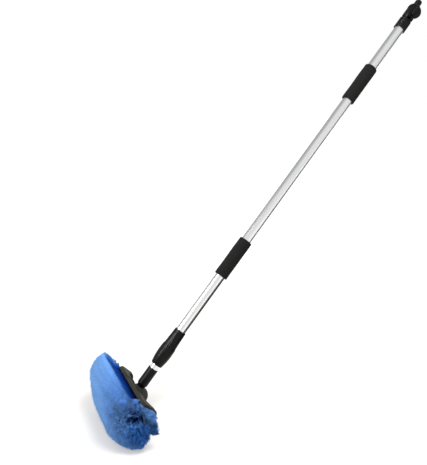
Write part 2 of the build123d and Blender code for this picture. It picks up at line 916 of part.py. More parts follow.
backing_length = block_length - (skirt_wall + seat_gap) * 2
backing_width = block_width - (skirt_wall + seat_gap) * 2
bed_x = (half_columns - end_columns + bed_edge_share) * tuft_pitch_x
bed_y = (half_rows - side_rows + bed_edge_share) * tuft_pitch_y
out_x = backing_length / 2
out_y = backing_width / 2
inner_columns = range(end_columns, tuft_columns - end_columns)
water_jets = [((column + jet_place_share) * tuft_pitch_x, 0) for column in range(-jet_pairs, jet_pairs)]
bristle_bed(
    "near_end_bristles",
    range(end_columns),
    range(tuft_rows),
    (-out_x, -out_y),
    (-bed_x, out_y),
    tier=-1,
)
bristle_bed(
    "far_end_bristles",
    range(tuft_columns - end_columns, tuft_columns),
    range(tuft_rows),
    (bed_x, -out_y),
    (out_x, out_y),
    tier=1,
)
bristle_bed("lower_side_bristles", inner_columns, range(side_rows), (-bed_x, -out_y), (bed_x, -bed_y))
bristle_bed(
    "upper_side_bristles",
    inner_columns,
    range(tuft_rows - side_rows, tuft_rows),
    (-bed_x, bed_y),
    (bed_x, out_y),
)
bristle_bed(
    "middle_bristles",
    inner_columns,
    range(side_rows, tuft_rows - side_rows),
    (-bed_x, -bed_y),
    (bed_x, bed_y),
    water_jets,
)
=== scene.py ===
import json
from itertools import product
from math import atan2, cos, pi, radians, sin

import bpy
import numpy as np
from mathutils import Matrix, Vector, noise

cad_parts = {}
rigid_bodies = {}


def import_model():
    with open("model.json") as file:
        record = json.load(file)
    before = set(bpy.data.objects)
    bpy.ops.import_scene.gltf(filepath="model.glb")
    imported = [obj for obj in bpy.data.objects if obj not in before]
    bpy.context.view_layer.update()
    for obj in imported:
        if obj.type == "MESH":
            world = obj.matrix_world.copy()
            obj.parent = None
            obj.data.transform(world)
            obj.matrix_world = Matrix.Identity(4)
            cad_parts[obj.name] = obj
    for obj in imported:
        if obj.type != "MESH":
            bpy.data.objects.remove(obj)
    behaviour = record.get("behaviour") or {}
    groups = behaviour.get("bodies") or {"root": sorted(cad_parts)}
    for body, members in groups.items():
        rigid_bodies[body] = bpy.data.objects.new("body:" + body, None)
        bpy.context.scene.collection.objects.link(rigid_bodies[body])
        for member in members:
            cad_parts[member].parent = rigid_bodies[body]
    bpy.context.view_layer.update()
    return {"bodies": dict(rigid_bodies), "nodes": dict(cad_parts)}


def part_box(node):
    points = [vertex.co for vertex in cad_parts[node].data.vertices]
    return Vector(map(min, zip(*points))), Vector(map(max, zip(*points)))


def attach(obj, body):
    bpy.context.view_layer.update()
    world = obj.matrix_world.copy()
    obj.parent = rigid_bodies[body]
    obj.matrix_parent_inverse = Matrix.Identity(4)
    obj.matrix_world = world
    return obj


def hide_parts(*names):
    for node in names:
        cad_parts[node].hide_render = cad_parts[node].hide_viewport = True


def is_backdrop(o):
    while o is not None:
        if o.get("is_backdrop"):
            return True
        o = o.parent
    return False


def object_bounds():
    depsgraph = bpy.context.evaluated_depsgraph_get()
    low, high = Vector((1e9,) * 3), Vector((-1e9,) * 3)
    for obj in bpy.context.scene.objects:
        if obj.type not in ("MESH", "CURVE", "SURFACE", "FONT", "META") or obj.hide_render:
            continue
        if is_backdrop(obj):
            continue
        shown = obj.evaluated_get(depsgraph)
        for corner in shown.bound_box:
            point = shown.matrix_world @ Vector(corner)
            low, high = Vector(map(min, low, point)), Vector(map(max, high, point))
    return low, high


# Looks of a telescopic flow-through wash brush: the finishes, the soft bristles and the
# foam grips, then the studio. Lengths in the code are metres.

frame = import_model()
nodes = frame["nodes"]

# Small sizes are written in millimetres, times MM
MM = 0.001

# Attitude of the pole and of the block's underside. Stations along the pole are measured
# from the mouth of the handle socket.
POLE_RISE = radians(48)
BLOCK_RISE = radians(3)
ORIGIN_STATION = 390 * MM
MOUTH_SIDE = 15 * MM
MOUTH_HEIGHT = 24 * MM
POLE_WAY = Vector((0, cos(POLE_RISE), sin(POLE_RISE)))
BLOCK_WAY = Vector((0, cos(BLOCK_RISE), sin(BLOCK_RISE)))
BLOCK_SIDE = Vector((0, -sin(BLOCK_RISE), cos(BLOCK_RISE)))
SOCKET_MOUTH = POLE_WAY * -ORIGIN_STATION
HEAD_MIDDLE = SOCKET_MOUTH - BLOCK_SIDE * MOUTH_SIDE - BLOCK_WAY * MOUTH_HEIGHT

# Sizes of the finishes' patterns. The draw lines are several times coarser than real ones
# and the foam's cells about twice as wide, so that they show.
DRAW_LINE_PITCH = 0.5 * MM
DRAW_LINE_LENGTH = 80 * MM
MOULD_CLOUD = 18 * MM
FOAM_CELL = 1.1 * MM
STREAK_LENGTH = 150 * MM
STREAK_WIDTH = 14 * MM
METAL_MARK = 0.8 * MM

# Bed of tufts on the block's underside
TUFT_COLUMNS = 15
TUFT_ROWS = 7
TUFT_PITCH_X = 12.2 * MM
TUFT_PITCH_Y = 9.4 * MM
TUFT_RADIUS = 2.6 * MM

# Pillow that the tips make: its depth, and how far it runs flat and then bends back,
# towards the long sides and towards the ends. The trim takes its corners in.
BRISTLE_DEPTH = 76 * MM
SIDE_FLAT = 24 * MM
SIDE_BEND = 46 * MM
END_FLAT = 63 * MM
END_BEND = 62 * MM
CORNER_TRIM = 0.04
CORNER_POWER = 4

# Tier of tufts under each visor: a row across the block's end that fans out. The fan is
# less wide at the back, and its outline is part of an oval.
TIER_TUFTS = 5
TIER_PITCH = 10 * MM
TIER_START = 91 * MM
TIER_HEIGHT = 5.2 * MM
TIER_REACH = 36 * MM
TIER_FAN = 1.5
TIER_CLOSE = 0.35
TIER_OVAL = 0.85
TIER_LEAST_REACH = 0.1
# Near and far tier: place of the foremost tips, their span towards the back, their lift up
# the block's side, and how much of it they lose towards the back
TIER_FORM = {
    -1: (-6 * MM, 31 * MM, 4 * MM, 12 * MM),
    1: (-12 * MM, 20 * MM, 5 * MM, 4 * MM),
}

# One filament: where it is cut across to bend, how deep its root sits, and its width,
# which flares from the root and closes at the very tip
STRAND_CUTS = (0.35, 0.65, 0.9)
STRAND_SINK = 0.6 * MM
STRAND_WIDTH = 0.42 * MM
ROOT_WIDTH = 0.7
FLARE_WIDTH = 1.1
TIP_WIDTH = 0.45
TIP_START = 0.99

# How filaments differ: in length, in where the tip ends and in how they bend
LENGTH_SPREAD = 0.02
TIP_SCATTER = 1.0 * MM
BEND_SCATTER = 0.9 * MM
# A filament's start leans from square to the block, 0, towards its tip, 1
LEAN = 0.6

# Shape that use has given the bristles. All of them are combed towards the far end.
COMBED = 6 * MM
# The near end is pressed in, cut back and rounded along its lower edge
NEAR_PRESS = 0.07
NEAR_CUT = 24 * MM
NEAR_ROUND = 12 * MM
NEAR_ROUND_DEPTH = 8 * MM
# The far end is narrower towards the working face, and narrower beside the block
FAR_TRIM = 0.14
FAR_TRIM_DEPTH = 20 * MM
FAR_NARROW = 0.42
FAR_NARROW_DEPTH = 25 * MM
# Both ends fan back past the block, but not along their edges
END_FAN = 24 * MM
END_FAN_DEPTH = 45 * MM
EDGE_FAN_START = 0.6
EDGE_FAN_END = 0.9
# A crease parts the near end. Its points are heights over the middle and places behind
# the block's underside.
CREASE = (
    (21 * MM, -34 * MM),
    (17 * MM, -19 * MM),
    (21 * MM, -7 * MM),
    (3 * MM, 6 * MM),
    (-12 * MM, 17 * MM),
)
CREASE_DEPTH = 32 * MM
CREASE_WIDTH = 6 * MM
# The near end stands out in soft lumps
LUMP_SIZE = 13 * MM
LUMP_HEIGHT = 6.5 * MM

# Light and dark among the filaments: their own random spread, clumps at the two ends, painted
# shade in the crease, painted light on the upper rim, and painted shade on tips low on the near end
TONE_SPREAD = 0.07
CLUMP_SIZE = 8.125 * MM
CLUMP_SHADE = 0.75
CLUMP_FAR_SHARE = 0.4
CREASE_SHADE = 0.65
RIM_PAINTED_LIGHT = 0.2
RIM_START = 10 * MM
RIM_END = 60 * MM
RIM_FRONT = -62 * MM
RIM_BACK = -37 * MM
NEAR_PAINTED_SHADE = 0.26
PAINTED_SHADE_HEIGHT = 20 * MM

# Foam grips: a sleeve whose skin swells unevenly, in short and in long waves
GRIP_RADIUS = 17.2 * MM
GRIP_LENGTH = 110 * MM
GRIP_WALL = 4.4 * MM
GRIP_ROUND = 3.4 * MM
GRIP_ROUND_STEPS = 5
GRIP_EDGE_ANGLE = radians(50)
GRIP_SIDES = 64
GRIP_RINGS = 21
GRIP_RING_MARGIN = 5 * MM
SHORT_SWELL = 0.12 * MM
SHORT_SWELL_LOBES = 3
SHORT_SWELL_PITCH = 9 * MM
LONG_SWELL = 0.1 * MM
LONG_SWELL_LOBES = 2
LONG_SWELL_PITCH = 13 * MM
LOWER_GRIP_STATION = 335 * MM
UPPER_GRIP_STATION = 900 * MM

# Floor: its size, its gap under the object, and a glow that grows with the distance
FLOOR_SIZE = 60
FLOOR_GAP = 0.5 * MM
GLOW_START = 0.5
GLOW_END = 2.2
GLOW_NEAR = 0.38
GLOW_FAR = 0.9

# World: what lights the object comes mostly from one way, what it mirrors from another
WORLD_WAY = Vector((-0.3, -0.75, 0.6)).normalized()
WORLD_SPAN = (-0.6, 1.0)
WORLD_LEVELS = (0.12, 0.75)
GLOSS_WAY = Vector((0.86, 0.0, 0.5)).normalized()
GLOSS_SPAN = (0.2, 0.95)
GLOSS_LEVELS = (0.5, 1.0)

# Lamps: places and widths in metres, powers in watts
LAMP_AIM = Vector((0, -0.1, -0.1))
TOP_LAMP_PLACE = Vector((0.8, 0.1, 1.5))
TOP_LAMP_WIDTH = 0.7
TOP_LAMP_POWER = 22
KEY_LAMP_PLACE = Vector((-0.1, -1.7, 0.9))
KEY_LAMP_WIDTH = 0.9
KEY_LAMP_POWER = 20
STRIP_PLACE = Vector((0.29, -0.5, 1.2))
STRIP_WIDTH = 0.12
STRIP_LENGTH = 1.9
STRIP_POWER = 36

# Flags, which are dark cards beside the pole: the way they stand off it, and how far
FLAG_WAY = Vector((0.2, 0.70, -0.63))
FLAG_AWAY = 260 * MM
POLE_FLAG_STATION = 860 * MM
POLE_FLAG_LENGTH = 1.2
POLE_FLAG_WIDTH = 0.27
NECK_FLAG_STATION = 60 * MM
NECK_FLAG_LENGTH = 0.62
NECK_FLAG_WIDTH = 0.5

# Camera, matched to the photograph
CAMERA_PLACE = Vector((1.0169, -0.5520, 0.3662))
CAMERA_AZIMUTH = radians(63.914)
CAMERA_RISE = radians(14.4975)
CAMERA_ROLL = radians(-0.8635)
CAMERA_LENS = 37.3816
CAMERA_SENSOR = 36
CAMERA_CLIP = 0.05


# Shared steps


def station(place):
    """Point on the pole's axis, at a distance from the socket's mouth."""
    return POLE_WAY * (place - ORIGIN_STATION)


def share_between(values, start, end):
    """How far values are on the way from start to end, kept between 0 and 1."""
    return np.clip((values - start) / (end - start), 0, 1)


def colour(code):
    """Linear colour of an sRGB hex value."""
    parts = [int(code[i : i + 2], 16) / 255 for i in (1, 3, 5)]
    linear = [c / 12.92 if c <= 0.04045 else ((c + 0.055) / 1.055) ** 2.4 for c in parts]
    return (*linear, 1)


def start_alone(piece):
    """Make a piece the only selected one, and the active one."""
    bpy.ops.object.select_all(action="DESELECT")
    bpy.context.view_layer.objects.active = piece
    piece.select_set(True)


def cut_across(piece, heights):
    """Cut a piece across its Z axis at some heights."""
    start_alone(piece)
    bpy.ops.object.mode_set(mode="EDIT")
    for height in heights:
        bpy.ops.mesh.select_all(action="SELECT")
        bpy.ops.mesh.bisect(plane_co=(0, 0, height), plane_no=(0, 0, 1))
    bpy.ops.object.mode_set(mode="OBJECT")


# Materials


def blank_material(name):
    """New material with no nodes."""
    material = bpy.data.materials.new(name)
    material.use_nodes = True
    material.node_tree.nodes.clear()
    return material


def add_node(material, kind, values=(), links=(), stops=(), **settings):
    """Add a node with its settings, its values, the links to its inputs and its colour stops."""
    tree = material.node_tree
    made = tree.nodes.new(kind)
    for name, value in settings.items():
        setattr(made, name, value)
    for socket, value in dict(values).items():
        made.inputs[socket].default_value = value
    for socket, source in dict(links).items():
        tree.links.new(source, made.inputs[socket])
    if stops:
        band = made.color_ramp
        while len(band.elements) < len(stops):
            band.elements.new(0.5)
        for element, (place, code) in zip(band.elements, stops):
            element.position = place
            element.color = colour(code)
    return made


def give_surface(material, values, links):
    """Finish a material with one Principled shader, from its plain values and its patterns."""
    shader = add_node(material, "ShaderNodeBsdfPrincipled", values, links)
    add_node(material, "ShaderNodeOutputMaterial", links={"Surface": shader.outputs[0]})
    return material


def anodised_aluminium():
    """Drawn aluminium tube, satin anodised: pale, with fine draw lines along the pole."""
    material = blank_material("anodised_aluminium")
    place = add_node(material, "ShaderNodeTexCoord")
    # Turned so that the pole lies along Z, as the draw lines do
    turned = add_node(
        material,
        "ShaderNodeMapping",
        {"Rotation": (pi / 2 - POLE_RISE, 0, 0)},
        {"Vector": place.outputs["Object"]},
    )
    stretched = add_node(
        material,
        "ShaderNodeMapping",
        {"Scale": (1 / DRAW_LINE_PITCH, 1 / DRAW_LINE_PITCH, 1 / DRAW_LINE_LENGTH)},
        {"Vector": turned.outputs[0]},
    )
    lines = add_node(
        material,
        "ShaderNodeTexNoise",
        {"Scale": 1.0, "Detail": 3.0},
        {"Vector": stretched.outputs[0]},
    )
    tint = add_node(
        material,
        "ShaderNodeValToRGB",
        links={"Fac": lines.outputs[0]},
        stops=[(0.3, "#D6D7D8"), (0.7, "#EBEBEC")],
    )
    rough = add_node(
        material,
        "ShaderNodeMapRange",
        {"To Min": 0.24, "To Max": 0.36},
        {"Value": lines.outputs[0]},
    )
    bump = add_node(
        material,
        "ShaderNodeBump",
        {"Strength": 0.12, "Distance": 0.05 * MM},
        {"Height": lines.outputs[0]},
    )
    return give_surface(
        material,
        {"Base Color": colour("#DEDFE0"), "Metallic": 1.0, "Roughness": 0.3},
        {"Base Color": tint.outputs[0], "Roughness": rough.outputs[0], "Normal": bump.outputs[0]},
    )


def moulded_plastic(name, dark, pale, rough, gloss, pit, depth):
    """Moulded part whose grain has pits of a width and a depth, wider than real so that they show."""
    material = blank_material(name)
    place = add_node(material, "ShaderNodeTexCoord")
    pits = add_node(
        material,
        "ShaderNodeTexNoise",
        {"Scale": 1 / pit, "Detail": 2.0, "Roughness": 0.6},
        {"Vector": place.outputs["Object"]},
    )
    cloud = add_node(
        material,
        "ShaderNodeTexNoise",
        {"Scale": 1 / MOULD_CLOUD, "Detail": 2.0},
        {"Vector": place.outputs["Object"]},
    )
    tint = add_node(
        material,
        "ShaderNodeValToRGB",
        links={"Fac": cloud.outputs[0]},
        stops=[(0.35, dark), (0.65, pale)],
    )
    sheen = add_node(
        material,
        "ShaderNodeMapRange",
        {"From Min": 0.3, "From Max": 0.7, "To Min": rough - 0.05, "To Max": rough + 0.07},
        {"Value": pits.outputs[0]},
    )
    bump = add_node(
        material,
        "ShaderNodeBump",
        {"Strength": 0.25, "Distance": depth},
        {"Height": pits.outputs[0]},
    )
    return give_surface(
        material,
        {"Base Color": colour(dark), "Roughness": rough, "IOR": 1.5, "Specular IOR Level": gloss},
        {"Base Color": tint.outputs[0], "Roughness": sheen.outputs[0], "Normal": bump.outputs[0]},
    )


def eva_foam():
    """Closed-cell EVA foam, cut to shape: matt black, with small round cells in its skin."""
    material = blank_material("eva_foam")
    place = add_node(material, "ShaderNodeTexCoord")
    cells = add_node(
        material,
        "ShaderNodeTexVoronoi",
        {"Scale": 1 / FOAM_CELL},
        {"Vector": place.outputs["Object"]},
    )
    tint = add_node(
        material,
        "ShaderNodeValToRGB",
        links={"Fac": cells.outputs["Distance"]},
        stops=[(0.1, "#252525"), (0.75, "#131313")],
    )
    bump = add_node(
        material,
        "ShaderNodeBump",
        {"Strength": 0.5, "Distance": 0.25 * MM},
        {"Height": cells.outputs["Distance"]},
    )
    return give_surface(
        material,
        {"Base Color": colour("#1C1C1C"), "Roughness": 0.9, "IOR": 1.45, "Specular IOR Level": 0.25},
        {"Base Color": tint.outputs[0], "Normal": bump.outputs[0]},
    )


def polyester_bristle():
    """Crimped polyester filament: royal blue, with pale tips where the split ends scatter light."""
    material = blank_material("polyester_bristle")
    # along carries painted shade on the near end; shade carries random tone, painted shade and light
    along = add_node(material, "ShaderNodeAttribute", attribute_name="along")
    shade = add_node(material, "ShaderNodeAttribute", attribute_name="shade")
    tint = add_node(
        material,
        "ShaderNodeValToRGB",
        links={"Fac": along.outputs["Fac"]},
        stops=[(0.0, "#0B3C9E"), (0.5, "#1253B8"), (0.82, "#377CCB"), (1.0, "#78ABE4")],
    )
    # Soft streaks along the head, where neighbouring tufts lie together
    place = add_node(material, "ShaderNodeTexCoord")
    stretched = add_node(
        material,
        "ShaderNodeMapping",
        {"Scale": (1 / STREAK_LENGTH, 1 / STREAK_WIDTH, 1 / STREAK_WIDTH)},
        {"Vector": place.outputs["Object"]},
    )
    streaks = add_node(
        material,
        "ShaderNodeTexNoise",
        {"Scale": 1.0, "Detail": 2.0},
        {"Vector": stretched.outputs[0]},
    )
    streak_level = add_node(
        material,
        "ShaderNodeMapRange",
        {"From Min": 0.3, "From Max": 0.7, "To Min": 0.84, "To Max": 1.16},
        {"Value": streaks.outputs[0]},
    )
    level = add_node(
        material,
        "ShaderNodeMath",
        links={0: shade.outputs["Fac"], 1: streak_level.outputs[0]},
        operation="MULTIPLY",
    )
    varied = add_node(
        material,
        "ShaderNodeHueSaturation",
        {"Hue": 0.5, "Saturation": 1.0},
        {"Color": tint.outputs[0], "Value": level.outputs[0]},
    )
    return give_surface(
        material,
        {"Base Color": colour("#1450B8"), "Roughness": 0.55, "IOR": 1.45},
        {"Base Color": varied.outputs[0]},
    )


def plain_metal(name, tint, rough):
    """Small turned or headed metal part with a lightly marked surface."""
    material = blank_material(name)
    place = add_node(material, "ShaderNodeTexCoord")
    marks = add_node(
        material,
        "ShaderNodeTexNoise",
        {"Scale": 1 / METAL_MARK, "Detail": 3.0},
        {"Vector": place.outputs["Object"]},
    )
    spread = add_node(
        material,
        "ShaderNodeMapRange",
        {"To Min": rough - 0.06, "To Max": rough + 0.1},
        {"Value": marks.outputs[0]},
    )
    return give_surface(
        material,
        {"Base Color": colour(tint), "Metallic": 1.0, "Roughness": rough},
        {"Roughness": spread.outputs[0]},
    )


ALUMINIUM = anodised_aluminium()
# Black ABS from a polished mould: deep black with a narrow soft glint
SATIN_ABS = moulded_plastic(
    "satin_moulded_abs", "#09090A", "#0F0F11", rough=0.32, gloss=0.13, pit=0.7 * MM, depth=0.04 * MM
)
# Polypropylene from a grained mould: warm dark grey and nearly matt
BLOCK_PLASTIC = moulded_plastic(
    "grained_polypropylene", "#363532", "#403F3B", rough=0.55, gloss=0.12, pit=0.9 * MM, depth=0.08 * MM
)
# Turned or moulded acetal in its natural colour: milky white and smooth
WHITE_ACETAL = moulded_plastic(
    "natural_acetal", "#D8D7D1", "#E2E1DC", rough=0.42, gloss=0.5, pit=0.8 * MM, depth=0.02 * MM
)
FOAM = eva_foam()
BRISTLE = polyester_bristle()
# Moulded nitrile rubber: soft black with a dull skin
RUBBER = moulded_plastic(
    "nitrile_rubber", "#101010", "#161616", rough=0.62, gloss=0.3, pit=0.6 * MM, depth=0.03 * MM
)
NICKEL = plain_metal("nickel_plated_brass", "#C9C7BE", rough=0.14)
STEEL = plain_metal("zinc_plated_steel", "#B4B5B6", rough=0.35)

NODE_FINISH = {
    "outer_tube": ALUMINIUM,
    "inner_tube": ALUMINIUM,
    "piston": WHITE_ACETAL,
    "clamp_ring": WHITE_ACETAL,
    "ball_seats": WHITE_ACETAL,
    "valve_stem": WHITE_ACETAL,
    "valve_ball": NICKEL,
    "connector_rivet": STEEL,
    "head_connector": SATIN_ABS,
    "collar": SATIN_ABS,
    "lock_nut": SATIN_ABS,
    "valve_body": SATIN_ABS,
    "valve_knob": SATIN_ABS,
    "hose_nipple": SATIN_ABS,
    "brush_block": BLOCK_PLASTIC,
    "piston_rings": RUBBER,
    "connector_ring": RUBBER,
    "wiper_seal": RUBBER,
    "tube_ring": RUBBER,
    "stem_ring": RUBBER,
    "nipple_washer": RUBBER,
    "socket_washer": RUBBER,
}
for name, material in NODE_FINISH.items():
    mesh = nodes[name].data
    mesh.materials.clear()
    mesh.materials.append(material)


# Bristles. Places are in the block's own axes: along it, up its side, and out of its back.


def fold(travel, flat, bend):
    """How far out and how far back a run over the flat face and round its edge comes."""
    turn = np.maximum((travel - flat) / bend, 0)
    return np.minimum(travel, flat) + bend * np.sin(turn), bend * (1 - np.cos(turn))


def off_the_line(points, line):
    """How far points in a plane lie from a line of straight stretches."""
    nearest = np.full(len(points), np.inf)
    for start, end in zip(np.array(line[:-1]), np.array(line[1:])):
        way = end - start
        share = np.clip(((points - start) @ way) / (way @ way), 0, 1)
        gap = np.linalg.norm(points - start - share[:, None] * way, axis=1)
        nearest = np.minimum(nearest, gap)
    return nearest


def crease_share(heights_and_depths):
    """How much the crease takes hold of places, from 0 well off it to 1 on its line."""
    return np.exp(-((off_the_line(heights_and_depths, CREASE) / CREASE_WIDTH) ** 2))


def lumps(places, size):
    """Soft uneven swelling, from -1 to 1, at places in space."""
    return np.array([noise.noise(Vector(place) / size) for place in places.tolist()])


def end_share(lengthwise):
    """How near to the head's ends places lie, from 0 halfway out to 1 at an end."""
    halfway = (END_FLAT + END_BEND) / 2
    return np.clip((np.abs(lengthwise) - halfway) / halfway, 0, 1)


def worn(tips):
    """Tips in the shape that use has given them."""
    x, y, z = tips.T
    near_share = end_share(x) * (x < 0)
    far_share = end_share(x) * (x > 0)
    side_reach = SIDE_FLAT + SIDE_BEND
    low_share = share_between(-y, 0, side_reach)
    deep_share = share_between(-z, 0, BRISTLE_DEPTH)
    shallow_share = share_between(z, -END_FAN_DEPTH, 0)
    trimmed = FAR_TRIM * share_between(-z, FAR_TRIM_DEPTH, BRISTLE_DEPTH)
    narrowed = FAR_NARROW * share_between(z, -FAR_NARROW_DEPTH, 0)
    fanned = share_between(np.abs(y) / side_reach, EDGE_FAN_END, EDGE_FAN_START)
    rounded = near_share * low_share**4
    out = np.array(tips)
    out[:, 1] *= 1 - NEAR_PRESS * near_share * low_share**3 - (trimmed + narrowed) * far_share
    out[:, 2] += END_FAN * (near_share + far_share) * shallow_share * fanned
    out[:, 2] += NEAR_CUT * near_share * low_share * deep_share
    out[:, 2] -= NEAR_ROUND_DEPTH * rounded * shallow_share
    parted = CREASE_DEPTH * crease_share(out[:, 1:])
    ragged = LUMP_HEIGHT * lumps(tips, LUMP_SIZE)
    out[:, 0] += NEAR_ROUND * rounded
    out[:, 0] += COMBED * deep_share + (parted - ragged) * near_share
    return out


def tip_places(x, y):
    """Where filaments that aim at places on the backing end."""
    share_x = np.minimum(np.abs(x) / (TUFT_COLUMNS / 2 * TUFT_PITCH_X), 1)
    share_y = np.minimum(np.abs(y) / (TUFT_ROWS / 2 * TUFT_PITCH_Y), 1)
    out_x, back_x = fold(share_x * (END_FLAT + END_BEND * pi / 2), END_FLAT, END_BEND)
    out_y, back_y = fold(share_y * (SIDE_FLAT + SIDE_BEND * pi / 2), SIDE_FLAT, SIDE_BEND)
    out_x = out_x * (1 - CORNER_TRIM * share_y**CORNER_POWER) * np.sign(x)
    out_y = out_y * (1 - CORNER_TRIM * share_x**CORNER_POWER) * np.sign(y)
    back = (back_x**CORNER_POWER + back_y**CORNER_POWER) ** (1 / CORNER_POWER)
    return worn(np.stack([out_x, out_y, back - BRISTLE_DEPTH], axis=1))


def in_a_disc(random, count):
    """Points spread evenly over a unit disc."""
    turn = random.uniform(0, 2 * pi, count)
    spread = np.sqrt(random.uniform(0, 1, count))
    return np.stack([np.cos(turn), np.sin(turn)], axis=1) * spread[:, None]


def bed_filaments(random, columns, rows, per_tuft):
    """Roots and tips of the filaments of some columns and rows of tufts."""
    pitch = np.array([TUFT_PITCH_X, TUFT_PITCH_Y])
    centre = np.array([(TUFT_COLUMNS - 1) / 2, (TUFT_ROWS - 1) / 2])
    roots = []
    tips = []
    for tuft in product(columns, rows):
        middle = (tuft - centre) * pitch
        foot = middle + in_a_disc(random, per_tuft) * TUFT_RADIUS
        roots.append(np.column_stack([foot, np.full(per_tuft, -STRAND_SINK)]))
        aim = middle + random.uniform(-0.5, 0.5, (per_tuft, 2)) * pitch
        tips.append(tip_places(aim[:, 0], aim[:, 1]))
    return np.concatenate(roots), np.concatenate(tips)


def tier_filaments(random, way, per_tuft):
    """Roots and tips of the filaments of the tier under one visor: way is -1 near, 1 far."""
    lowest, span, lift, droop = TIER_FORM[way]
    oval = TIER_PITCH * TIER_TUFTS * TIER_OVAL
    roots = []
    tips = []
    for tuft in range(TIER_TUFTS):
        y = (tuft - (TIER_TUFTS - 1) / 2) * TIER_PITCH
        ring = in_a_disc(random, per_tuft)
        root = np.column_stack(
            [
                np.full(per_tuft, way * (TIER_START - STRAND_SINK)),
                y + ring[:, 0] * TIER_PITCH / 2,
                TIER_HEIGHT + ring[:, 1] * TUFT_RADIUS,
            ]
        )
        aim = random.uniform(-1, 1, (per_tuft, 2))
        rise = (aim[:, 1] + 1) / 2
        fan = (y + aim[:, 0] * TIER_PITCH / 2) * (TIER_FAN - TIER_CLOSE * rise)
        reach = TIER_REACH * np.sqrt(np.clip(1 - (fan / oval) ** 2, TIER_LEAST_REACH, 1))
        tip = np.column_stack(
            [way * (TIER_START + reach), fan + lift - droop * rise, lowest + span * rise]
        )
        tip[:, 0] += way * LUMP_HEIGHT * lumps(tip, LUMP_SIZE)
        roots.append(root)
        tips.append(tip)
    return np.concatenate(roots), np.concatenate(tips)


def model_filament():
    """Corners and faces of one three-sided filament, unit long, cut across so that it can bend."""
    bpy.ops.object.select_all(action="DESELECT")
    bpy.ops.mesh.primitive_cone_add(vertices=3, radius1=1, radius2=1, depth=1, location=(0, 0, 0.5))
    piece = bpy.context.object
    bpy.ops.object.transform_apply(location=True, rotation=True, scale=True)
    cut_across(piece, STRAND_CUTS)
    corners = np.array([corner.co for corner in piece.data.vertices])
    faces = [tuple(face.vertices) for face in piece.data.polygons]
    bpy.data.objects.remove(piece)
    return corners, faces


def per_corner(vectors, weights):
    """Each filament's vector times each corner's weight."""
    return vectors[:, None] * weights[None, :, None]


def bend_filaments(random, roots, tips, corners):
    """Corners of the bent filaments, one filament after another, and where their tips end."""
    count = len(roots)
    chord = tips - roots
    length = np.linalg.norm(chord, axis=1)[:, None]
    ends = roots + chord * random.normal(1.0, LENGTH_SPREAD, count)[:, None]
    ends += random.normal(0, TIP_SCATTER, (count, 3))
    leaving = chord / length * LEAN + np.array([0, 0, LEAN - 1])
    bend = roots + leaving * length / 2 + random.normal(0, BEND_SCATTER, (count, 3))
    side = np.cross(chord, random.normal(0, 1, (count, 3)))
    side /= np.linalg.norm(side, axis=1)[:, None]
    other = np.cross(chord / length, side)
    along = corners[:, 2]
    width = STRAND_WIDTH * (ROOT_WIDTH + FLARE_WIDTH * along**2)
    width = width * np.where(along > TIP_START, TIP_WIDTH, 1.0)
    points = (
        per_corner(roots, (1 - along) ** 2)
        + per_corner(bend, 2 * along * (1 - along))
        + per_corner(ends, along**2)
        + per_corner(side, corners[:, 0] * width)
        + per_corner(other, corners[:, 1] * width)
    )
    return points.reshape(-1, 3), ends


def from_block(points):
    """Points in the block's own axes, put in their place. The far end lies towards -X."""
    axes = np.array([(-1, 0, 0), tuple(BLOCK_SIDE), tuple(BLOCK_WAY)])
    return np.array(HEAD_MIDDLE) + points @ axes


def filament_tones(random, ends):
    """How pale each filament's tip is, less with painted shade low on the near end, and how light
    the whole filament is, with painted shade in the crease and painted light on the upper rim.
    """
    x, y, z = ends.T
    near_share = end_share(x) * (x < 0)
    clumped = np.maximum(near_share, CLUMP_FAR_SHARE * end_share(x))
    clumps = CLUMP_SHADE * lumps(ends, CLUMP_SIZE) * clumped
    # Painted shade: filaments darker along the near end's crease, where shade falls
    parted = CREASE_SHADE * near_share**2 * crease_share(ends[:, 1:])
    # Painted light: filaments lighter along the upper rim, where light falls on the ridge
    rim = share_between(y, RIM_START, RIM_END) * share_between(z, RIM_FRONT, RIM_BACK)
    spread = random.normal(1.0, TONE_SPREAD, len(ends))
    light = spread * (1 + clumps) * (1 - parted) * (1 + RIM_PAINTED_LIGHT * rim)
    # Painted shade: tips low on the near end less pale, where that end lies in shade
    low_share = share_between(-y, -PAINTED_SHADE_HEIGHT, PAINTED_SHADE_HEIGHT)
    return 1 - NEAR_PAINTED_SHADE * near_share**3 * low_share, light


def bristle_piece(name, roots, tips, seed, filament):
    """Filaments copied from one and bent to their places, as one piece on the brush."""
    corners, faces = filament
    random = np.random.default_rng(seed)
    points, ends = bend_filaments(random, roots, tips, corners)
    pale, light = filament_tones(random, ends)
    step = len(corners)
    all_faces = [tuple(i + step * k for i in face) for k in range(len(roots)) for face in faces]
    mesh = bpy.data.meshes.new(name)
    mesh.from_pydata(from_block(points).tolist(), [], all_faces)
    mesh.update()
    # along carries painted shade low on the near end; shade carries painted shade and light beside
    # random tone
    tones = {"along": np.outer(pale, corners[:, 2]).ravel(), "shade": np.repeat(light, step)}
    for label, values in tones.items():
        layer = mesh.attributes.new(label, "FLOAT", "POINT")
        layer.data.foreach_set("value", values.astype(np.float32))
    mesh.materials.append(BRISTLE)
    mesh.shade_smooth()
    piece = bpy.data.objects.new(name, mesh)
    bpy.context.scene.collection.objects.link(piece)
    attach(piece, "brush")
    return piece


